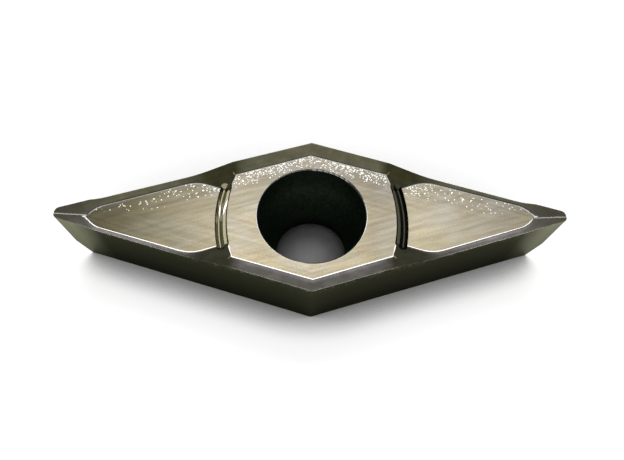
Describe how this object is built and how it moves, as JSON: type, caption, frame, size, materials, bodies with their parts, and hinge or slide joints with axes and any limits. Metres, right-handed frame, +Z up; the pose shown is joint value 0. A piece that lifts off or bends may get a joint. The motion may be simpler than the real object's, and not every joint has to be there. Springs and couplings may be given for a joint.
{
  "type": "carbide turning insert",
  "caption": "Slim rhombic carbide turning insert with relief flanks, a countersunk screw hole and a sunken positive chip former; it cuts at either pointed corner.",
  "frame": {"origin": "centre of the seating face, on the axis of the screw hole", "axes": "+X towards one pointed cutting corner, +Z up out of the seat, away from the holder"},
  "size_m": [0.0298, 0.01, 0.005],
  "materials": {
    "carbide": "fine-ground bare tungsten carbide, warm grey, polished lands"
  },
  "bodies": {
    "root": {"insert_body": "carbide"}
  },
  "joints": []
}
